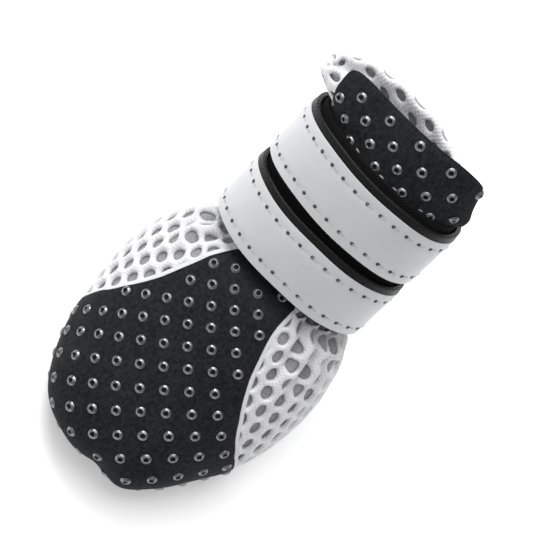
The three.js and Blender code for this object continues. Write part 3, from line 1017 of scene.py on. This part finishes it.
lay_net("mesh_left", side_panel("left_carrier", VAMP_LEFT_EDGE, 1, 60, 12, (1.6, -1.4)),
        hole_length=4.0, hole_width=3.05, slant=0.55, columns=44.0, rows=36.0)
lay_net("mesh_right", side_panel("right_carrier", VAMP_RIGHT_EDGE, -1, -70, -20, (0, 0)),
        hole_length=3.9, hole_width=3.15, slant=-0.65, columns=44.0, rows=36.0)

# %% The folded hem above the sole
HEM_ROW, HEM_HIGH, HEM_THICK, HEM_ROUND = 0.62, 1.5, 0.8, 0.35
hem_turns = np.linspace(VAMP_LEFT_EDGE[1] - 1, 360 + VAMP_RIGHT_EDGE[1] + 1, 160)
hem = ribbon("foot_hem", fabric_point(HEM_ROW, hem_turns, 0.0), outward_at(HEM_ROW, hem_turns),
             HEM_HIGH, HEM_THICK, HEM_ROUND)
settle(hem, "upper", MESH_LINING)

# %% The heel seam
HEEL_WIDTH, HEEL_THICK, HEEL_LOW_ROW, HEEL_STITCHES_OUT, HEEL_STITCHES_ASIDE = 3.0, 1.1, 0.25, 0.6, 0.9
heel_rows = np.linspace(HEEL_LOW_ROW, FOOT_NET_END_ROW + 0.2, 70)
heel_line, heel_out = fabric_point(heel_rows, 180.0, -0.15), outward_at(heel_rows, 180.0)
settle(ribbon("heel_tape", heel_line, heel_out, HEEL_WIDTH, HEEL_THICK, 0.5), "upper", MESH_LINING)
heel_seams = [seam(carried(heel_line, heel_out, [(aside, HEEL_STITCHES_OUT)])[:, 0], heel_out)
              for aside in (-HEEL_STITCHES_ASIDE, HEEL_STITCHES_ASIDE)]
sew("heel_stitches", heel_seams, thread_shape(1.9, 0.45, 0.3), THREAD_WHITE, "upper", pitch=2.4)

# %% The net over the collar
# It climbs the outside, rolls over the rim and runs down inside, all in one piece of cloth.
COLLAR_TURNS = np.linspace(0, 360, 241)
ROLL_RADIUS, RIM_INSET = WALL / 2, 0.22
OUTSIDE_ROWS = np.linspace(COLLAR_NET_ROW, RIM_ROW, 22)[:, None]
INSIDE_ROWS = np.linspace(RIM_ROW, 13.4, 20)[:, None]
UNDER_PANEL_MIDDLE, UNDER_PANEL_HALF, ROWS_UNDER_PANEL = 18, 58, 20
COLLAR_PITCH = 4.3


def collar_strip():
    """Points and outward directions up the outside of the collar, over its rim and down inside."""
    points = [fabric_point(OUTSIDE_ROWS, COLLAR_TURNS, 0)]
    facings = [outward_at(OUTSIDE_ROWS, COLLAR_TURNS)]
    out = outward_at(RIM_ROW, COLLAR_TURNS)
    middle = fabric_point(RIM_ROW, COLLAR_TURNS, -ROLL_RADIUS)
    up = middle - fabric_point(RIM_ROW - 0.2, COLLAR_TURNS, -ROLL_RADIUS)
    up /= np.linalg.norm(up, axis=-1, keepdims=True)
    for turn in np.linspace(0, math.pi, 9)[1:-1]:
        way = out * math.cos(turn) + up * math.sin(turn)
        points.append((middle + way * ROLL_RADIUS)[None])
        facings.append(way[None])
    points.append(fabric_point(INSIDE_ROWS, COLLAR_TURNS, -WALL))
    facings.append(-outward_at(INSIDE_ROWS, COLLAR_TURNS))
    return np.concatenate(points), np.concatenate(facings)


collar_surface, collar_facing = collar_strip()
collar_round = arc_lengths(last_point(15.5, COLLAR_TURNS)[None], 1)
collar_up = arc_lengths(collar_surface, 0).mean(axis=1, keepdims=True)
collar_layout = paired(collar_round - collar_round.max() / 2, collar_up - collar_up.max() / 2)
behind_panel = np.abs(turned_from(COLLAR_TURNS, UNDER_PANEL_MIDDLE)) < UNDER_PANEL_HALF
hidden = (np.arange(len(collar_surface))[:, None] < ROWS_UNDER_PANEL) & behind_panel
lay_net("collar_mesh", cloth("collar_carrier", collar_surface, collar_layout, collar_facing, ~hidden),
        pitch=COLLAR_PITCH, hole_length=2.9, hole_width=2.4, slant=0.0, depth=0.3, columns=40.0, rows=14.0)

# %% The soft fold along the rim, a little thicker between the holes
RIM_SWELL = 0.06
rim_out = outward_at(RIM_ROW, COLLAR_TURNS[:-1])
rim_line = fabric_point(RIM_ROW, COLLAR_TURNS[:-1], -ROLL_RADIUS)
rim_length = arc_lengths(rim_line[None], 1)[0]
swell = 1 + RIM_SWELL * np.sin(rim_length * 2 * math.pi / COLLAR_PITCH)
rim_profile = circle(12) * (ROLL_RADIUS - RIM_INSET) * swell[:, None, None]
rim = solid_strip("rim_fold", carried(rim_line, rim_out, rim_profile, closed=True), closed=True,
                  layout=paired(rim_length[:, None], np.linspace(0, 6, 12)))
# The rim fold takes the grey finish of painted shade.
settle(rim, "upper", RIM_PADDING_PAINTED_SHADE)

# %% [markdown]
# ## The black panels
# The vamp fabric lies over the mesh edges and is turned under all round. Its rings are printed on
# the cloth before it is cut, in a square pattern that runs across the grain, so they keep their
# pitch over the toe. To give them places, the cloth is laid flat from the panel's middle: each
# point keeps its direction and its distance from there, as a cloth smoothed over a dome does.

# %% The vamp
VAMP_TOP_ROW, VAMP_LOW_ROW, PRINT_LOW_ROW, PRINT_TOP_ROW = 9.45, -0.35, 0.6, 9.0
BAND_START_ROW, BAND_FULL_ROW = 8.7, 9.1
PANEL_LIFT, PANEL_EDGE_LIFT, TURNED_EDGE, SEWN_LIFT = 0.65, 0.46, 0.9, 0.15
RING_PITCH, UNPRINTED_EDGE = 5.05, 1.0
VAMP_PRINT = ((-1.066, 1.313, 1.442, -0.089, 0.044, 0.005), (0.644, 1.321, -1.486, 0.034, 0.005, -0.070))


def printed_layout(points, middle_row, print_terms):
    """The print's own rows and columns, in mm: the cloth was sewn on a little askew, so they bend."""
    u, v = np.moveaxis(flat_from_middle(points, middle_row, 0.0, LEFT), -1, 0) / 10
    terms = (1, u, v, u * u, u * v, v * v)
    return RING_PITCH * paired(*(sum(k * t for k, t in zip(row, terms)) for row in print_terms))


vamp_rows = np.linspace(VAMP_LOW_ROW, VAMP_TOP_ROW, 110)[:, None]
left_edge = edge_angle(vamp_rows, VAMP_ROWS, VAMP_LEFT_EDGE)
right_edge = edge_angle(vamp_rows, VAMP_ROWS, VAMP_RIGHT_EDGE)
vamp_turns = right_edge + (left_edge - right_edge) * np.linspace(0, 1, 121)
from_right = arc_lengths(fabric_point(vamp_rows, vamp_turns, 0), 1)
from_edge = np.minimum(from_right, from_right[:, -1:] - from_right)
under_band = smooth(BAND_START_ROW, BAND_FULL_ROW, vamp_rows)
vamp_lift = edge_height(from_edge, PANEL_LIFT, PANEL_EDGE_LIFT, TURNED_EDGE) * (1 - under_band)
vamp_points = fabric_point(vamp_rows, vamp_turns, vamp_lift + SEWN_LIFT * under_band)
printed = (from_edge > UNPRINTED_EDGE) & (vamp_rows < PRINT_TOP_ROW) & (vamp_rows > PRINT_LOW_ROW)
vamp = cloth("vamp", vamp_points, printed_layout(vamp_points, 5.0, VAMP_PRINT),
             outward_at(vamp_rows, vamp_turns), printed)

# %% The collar panel
COLLAR_LOW_ROW, RIGHT_CORNER, LEFT_CORNER = 12.35, 2.0, 5.0
MM_PER_ROW, DEGREES_PER_MM = 3.0, 2.9
COLLAR_LIFT, COLLAR_EDGE_LIFT, COLLAR_UNPRINTED, COLLAR_PRINT_ROW = 0.75, 0.35, 0.9, 13.2
LEFT_PUFF, PUFF_TURN, PUFF_WIDTH, PUFF_ROW, PUFF_ROWS = 1.7, 80, 22, 14.6, 0.9
PANEL_EDGE_ROWS = [12, 13.3, 14, 14.8, 15.5, 16.5, 17, 18.5]
PANEL_RIGHT_EDGE = [-74, -73, -66, -56, -50, -46, -45, -44]
PANEL_LEFT_EDGE = [83, 83, 83, 83, 83, 82, 80, 78]
# angle, and how far the panel stands above the slack rim there, in mm
PANEL_TOP = [(-75, 2.8), (-50, 3.1), (-40, 3.0), (-30, 2.7), (-15, 2.2), (0, 2.2), (15, 2.6), (30, 2.9),
             (45, 2.9), (60, 2.5), (84, 1.8)]
COLLAR_PRINT = ((-1.24, 1.223, 1.727, 0.027, -0.145, -0.347), (0.49, 1.395, -1.614, -0.079, 0.013, 0.324))

panel_up, panel_share = np.linspace(0, 1, 60)[:, None], np.linspace(0, 1, 121)[None, :]
top_rows = np.full_like(panel_share, RIM_ROW + 0.6)
for _ in range(3):
    # the top row depends on the angles and they on the rows, so a few rounds settle both
    panel_rows = COLLAR_LOW_ROW + (top_rows - COLLAR_LOW_ROW) * panel_up
    right = edge_angle(panel_rows, PANEL_EDGE_ROWS, PANEL_RIGHT_EDGE)
    left = edge_angle(panel_rows, PANEL_EDGE_ROWS, PANEL_LEFT_EDGE)
    panel_turns = right + (left - right) * panel_share
    top_rows = RIM_ROW + softened(panel_turns[-1:], PANEL_TOP, 8)[0] / MM_PER_ROW
panel_rows = COLLAR_LOW_ROW + (top_rows - COLLAR_LOW_ROW) * panel_up
below_top = (top_rows - panel_rows) * MM_PER_ROW
corner_size = RIGHT_CORNER + (LEFT_CORNER - RIGHT_CORNER) * panel_share
corner = np.clip(1 - below_top / corner_size, 0, 1)
corner_inset = corner_size * (1 - np.sqrt(1 - corner**2)) * DEGREES_PER_MM
panel_turns = panel_turns - (2 * panel_share - 1) * corner_inset
panel_across = arc_lengths(fabric_point(panel_rows, panel_turns, 0), 1)
panel_edge = np.minimum(np.minimum(panel_across, panel_across[:, -1:] - panel_across), below_top)
above_band = smooth(12.9, 13.3, panel_rows)
panel_lift = edge_height(panel_edge, COLLAR_LIFT, COLLAR_EDGE_LIFT, TURNED_EDGE) * above_band
panel_lift += SEWN_LIFT * (1 - above_band)
puff = bell((panel_turns - PUFF_TURN) / PUFF_WIDTH) * bell((panel_rows - PUFF_ROW) / PUFF_ROWS)
panel_points = fabric_point(panel_rows, panel_turns, panel_lift + LEFT_PUFF * puff)
printed = (panel_edge > COLLAR_UNPRINTED) & (panel_rows > COLLAR_PRINT_ROW)
collar_panel = cloth("collar_panel", panel_points, printed_layout(panel_points, 15.0, COLLAR_PRINT),
                     outward_at(panel_rows, panel_turns), printed)

# %% Tacking stitches on the collar panel
TACK_ROW, TACK_FIRST, TACK_LAST, TACK_OUT = 13.5, -20, 80, 0.78
tack_turns = np.linspace(TACK_FIRST, TACK_LAST, 160)
tack_rows = TACK_ROW + 0.12 * np.sin(np.radians(tack_turns * 11))
tack_seam = seam(fabric_point(tack_rows, tack_turns, TACK_OUT), outward_at(tack_rows, tack_turns))
sew("collar_tacks", [tack_seam], thread_shape(1.25, 0.45, 0.3), THREAD_GREY, "upper", pitch=3.6)

# %% Rings on both panels
# A printed ring is a low cone of rubber with a dimple in its middle.
RING_RADIUS, RING_HEIGHT, PANEL_THICKNESS = 1.18, 0.4, 0.6
RING_PROFILE = ((1.0, -0.2), (0.97, 0.0), (0.8, 0.45), (0.62, 0.88), (0.52, 1.0), (0.44, 0.6), (0.36, -0.1))
ring = turned_shape("ring_shape", np.array(RING_PROFILE) * [RING_RADIUS, RING_HEIGHT], 16)
for panel, name in ((vamp, "vamp_rings"), (collar_panel, "collar_rings")):
    rings = run_recipe(name, panel, ROWS_RECIPE, shape=ring, pitch=RING_PITCH, row_gap=RING_PITCH,
                       stagger=0.0, columns=24.0, rows=24.0, material=RING_PRINT)
    rings.data.shade_smooth()
    settle(rings, "upper")
    thicken(panel, PANEL_THICKNESS)
    settle(panel, "upper", VAMP_FABRIC)
discard(ring)

# %% The white lip of the mesh along the vamp
LIP_PROFILE = np.array([
    (-1.2, -0.5), (-1.2, 0), (0, 0.28), (0.5, 0.34), (0.9, 0.24), (1.15, -0.1), (1.05, -0.6)])
lip_rows = np.linspace(0.2, 9.2, 90)
for name, angles, side in (("mesh_lip_left", VAMP_LEFT_EDGE, 1), ("mesh_lip_right", VAMP_RIGHT_EDGE, -1)):
    turns = edge_angle(lip_rows, VAMP_ROWS, angles)
    lip_line = fabric_point(lip_rows, turns, 0.0)
    lip = solid_strip(name, carried(lip_line, outward_at(lip_rows, turns), LIP_PROFILE * [-side, 1]))
    settle(lip, "upper", MESH_LINING)

# %% [markdown]
# ## The loop band
# A loop tape is sewn round the shaft so the straps can grip anywhere. Only a line of it shows, in
# the gap between the straps and above the upper one. Its long edge dips at the back of the ankle.
# A hoop of one rounded profile is enough: the pile is far finer than any mesh could be.

# %% The band
BAND_OUT, BAND_THICK, BAND_HIGH, BAND_LOW, BAND_DIP = 0.3, 1.0, 46.0, 12.0, 1.8
band_turns = np.linspace(0, 360, 180, endpoint=False)
band_low = BAND_LOW - BAND_DIP * (1 - np.cos(np.radians(band_turns))) / 2
band_up, band_out = stretched_box(band_low, BAND_HIGH + 0 * band_low, BAND_THICK, 0.35)
band_points = shaft_point(band_turns[:, None], band_up, BAND_OUT + np.broadcast_to(band_out, band_up.shape))
settle(solid_strip("loop_band", band_points, closed=True), "closure_band", LOOP_PILE)

# %% [markdown]
# ## The straps
# Each strap is a black hook strap with a narrower reflective tape sewn to its face by two rows of
# stitches. It is wrapped on the shaft's own rounded section, more than one turn, and climbs over its
# root. The maker feeds the tape a little low, so more black shows along the upper edge. The tape is
# its own thin strip here, pressed down at the stitches, because its edge has to catch the light.

# %% Strap helpers
STRAP_OUT, STRAP_WIDTH, HOOK_THICK, TAPE_THICK = 1.6, 14.6, 1.25, 0.25
ROOT_TURN, END_TURN, CLIMB, CLIMB_START, CLIMB_END = 195.0, -187.5, 1.8, -105, -150
# how a hand-laid edge wavers: size and length in mm, and how far one strap's wave is from the other's
WAVERS = [(0.12, 7.3, 1), (0.08, 3.1, 2)]


def strap_out(degrees):
    """How far out the strap's inner face lies: it climbs over its own root at the back."""
    return STRAP_OUT + CLIMB * (1 - smooth(CLIMB_END, CLIMB_START, degrees))


def strap_course(first, last, count, low_edge):
    """Angles along a strap, the length from its first, and how its hand-laid edge wavers there."""
    turns = np.linspace(first, last, count)
    line = shaft_point(turns, 0 * turns, strap_out(turns) + HOOK_THICK)
    arc = arc_lengths(line, 0)
    return turns, arc, sum(size * np.sin(arc / length + shift * low_edge) for size, length, shift in WAVERS)


def wrapped_strip(name, low_edge, low, high, out_from, thick, last, corner, radius):
    """A strip wrapped on the shaft between two heights, with rounded corners at its free end."""
    turns, arc, wave = strap_course(ROOT_TURN, last, 230, low_edge)
    to_end = np.clip(1 - (arc[-1] - arc) / corner, 0, 0.995)
    inset = corner * (1 - np.sqrt(1 - to_end**2))
    up, out = stretched_box(low_edge + low + inset + wave, low_edge + high - inset + wave, thick, radius)
    points = shaft_point(turns[:, None], up, strap_out(turns)[:, None] + out_from + out)
    return solid_strip(name, points, layout=paired(arc[:, None], up))


def strap_seams(low_edge, out, start):
    """The tape's two rows of stitches, from a length along the strap on."""
    turns, arc, wave = strap_course(ROOT_TURN - 2, END_TURN + 8, 400, low_edge)
    turns, wave = turns[arc >= start], wave[arc >= start]
    seams = []
    for up in (TAPE_LOW + STITCH_INSET, TAPE_LOW + TAPE_WIDTH - STITCH_INSET):
        line = shaft_point(turns, low_edge + up + wave, strap_out(turns) + out)
        facing = shaft_point(turns, low_edge + up + wave, strap_out(turns) + out + 0.1) - line
        seams.append(seam(line, facing / np.linalg.norm(facing, axis=1, keepdims=True)))
    return seams


def hole_shape(radius, height, sides=8):
    """A needle hole's painted shadow: a flat dimple of a few faces, in a dark finish."""
    rim = np.insert(circle(sides) * [radius, radius * 0.8], 2, 0, axis=1)
    points = np.concatenate([rim + [0, 0, -0.1], rim * 0.9 + [0, 0, height], [[0, 0, height * 0.2]]])
    faces = grid_faces(2, sides, False, True)
    faces += [[sides + i, sides + (i + 1) % sides, 2 * sides] for i in range(sides)]
    faces.append(list(range(sides))[::-1])
    hole = make_object("hole_shape", points, faces)
    face_out(hole)
    return hole


# %% Hook straps, tapes and their seams
STITCH_PITCH, HOLE_OUT, TAPE_SUNK, TAPE_SHORTER = 3.55, 0.02, 0.02, 6
for name, low_edge in (("strap_lower", STRAP_LOW_EDGE), ("strap_upper", STRAP_LOW_EDGE + STRAP_STEP)):
    hook = wrapped_strip("hook_" + name, low_edge, 0, STRAP_WIDTH, 0, HOOK_THICK, END_TURN,
                         corner=3.0, radius=0.4)
    settle(hook, name, STRAP_WEAVE)
    tape = wrapped_strip(name + "_tape", low_edge, TAPE_LOW, TAPE_LOW + TAPE_WIDTH, HOOK_THICK - TAPE_SUNK,
                         TAPE_THICK, END_TURN + TAPE_SHORTER, corner=1.0, radius=0.1)
    settle(tape, name, TAPE)
    top = HOOK_THICK + TAPE_THICK
    threads, holes = strap_seams(low_edge, top, 0), strap_seams(low_edge, top + HOLE_OUT, STITCH_PITCH / 2)
    sew(name + "_stitches", threads, thread_shape(2.5, 0.32, 0.12), THREAD_PALE, name, STITCH_PITCH)
    # The needle holes are dark discs of painted shade.
    sew(name + "_needle_holes", holes, hole_shape(0.5, 0.05), NEEDLE_HOLE_SHADE, name, STITCH_PITCH)

# %% [markdown]
# ## Sole and insole
# The sole is a soft rubber plate with a fine stud tread and a rolled black edge sewn to the upper.
# Its outline is the feather edge's own curve. Studs are a recipe over the underside: hundreds of
# them laid by hand would never stay on one grid. The insole is a plain cloth-faced plate, inset so
# that it clears the upper's wall.

# %% Plates on the sole's outline
PRESS_ROW, MOST_PRESS = 0.8, 0.3


def sole_outline(degrees, inset, height, share=1.0):
    """Points on the sole's outline, inset and at a height above the sole's own lift."""
    degrees, share, inset, height = np.broadcast_arrays(degrees, share, inset, height)
    along, across = rounded_turn(np.radians(degrees), SOLE_SQUARE)
    x = share * (SOLE_HALF_LENGTH - inset) * along
    y = share * (SOLE_HALF_WIDTH - inset) * (1 - HEEL_FULLNESS * along) * across + toe_swing(x)
    press = share * np.minimum(MOST_PRESS, relief(PRESS_ROW, degrees))
    return np.stack([x + press * along, y + press * across, height + sole_lift(x)], axis=-1)


def plate(name, inset, bottom, top, edge_round):
    """A closed plate: rings from the middle of the underside, round the edge, to the middle on top."""
    shares = np.linspace(0.02, 0.96, 16)
    bend = np.radians(np.linspace(-90, 90, 7))
    ring_shares = np.concatenate([shares, np.ones(7), shares[::-1]])
    ring_insets = np.concatenate([0 * shares, edge_round * (1 - np.cos(bend)), 0 * shares])
    middle, half = (top + bottom) / 2, (top - bottom) / 2
    ring_heights = np.concatenate([bottom + 0 * shares, middle + half * np.sin(bend), top + 0 * shares])
    points = sole_outline(np.linspace(0, 360, 144, endpoint=False), inset + ring_insets[:, None],
                          ring_heights[:, None], ring_shares[:, None])
    return solid_strip(name, points, layout=points[..., :2])


# %% Sole and its studs
STUD_HEIGHT, SOLE_TOP, STUD_INSET, STUD_PITCH = 0.6, 2.2, 2.2, 1.8
settle(plate("sole_body", 0.5, STUD_HEIGHT, SOLE_TOP, edge_round=0.4), "sole", SOLE_RUBBER)
tread = sole_outline(np.linspace(0, 360, 97), STUD_INSET, STUD_HEIGHT, np.linspace(0.0, 1.0, 22)[:, None])
tread_carrier = cloth("tread_carrier", tread, tread[..., :2], (0, 0, -1.0))
stud = turned_shape("stud_shape", ((0.7, -0.05), (0.55, 0.8 * STUD_HEIGHT), (0.385, STUD_HEIGHT)), 6)
studs = run_recipe("sole_studs", tread_carrier, ROWS_RECIPE, shape=stud, pitch=STUD_PITCH, row_gap=1.56,
                   stagger=0.5, columns=46.0, rows=28.0, material=SOLE_RUBBER)
settle(studs, "sole")
discard(tread_carrier, stud)

# %% The rolled edge
ROLL_INSET, ROLL_HEIGHT, ROLL_HALF_HIGH, ROLL_HALF_DEEP = 0.7, 1.35, 1.15, 0.95
edge_turns = np.linspace(0, 360, 240, endpoint=False)
edge_line = sole_outline(edge_turns, ROLL_INSET, ROLL_HEIGHT)
edge_out = (sole_outline(edge_turns, ROLL_INSET - 1, ROLL_HEIGHT) - edge_line) * [1, 1, 0]
edge_out /= np.linalg.norm(edge_out, axis=1, keepdims=True)
edge_profile = circle(12) * [ROLL_HALF_HIGH, ROLL_HALF_DEEP]
rolled = solid_strip("sole_edge", carried(edge_line, edge_out, edge_profile, closed=True), closed=True)
settle(rolled, "sole", EDGE_FABRIC)
edge_seam = seam(sole_outline(edge_turns, -0.12, 1.75), edge_out)
sew("sole_edge_stitches", [edge_seam], thread_shape(2.0, 0.45, 0.4), THREAD_BLACK, "sole", pitch=2.5)

# %% Insole
settle(plate("insole_lining", 2.7, SEWN_HEIGHT, SEWN_HEIGHT + 1, edge_round=0.3), "insole", INSOLE_FABRIC)
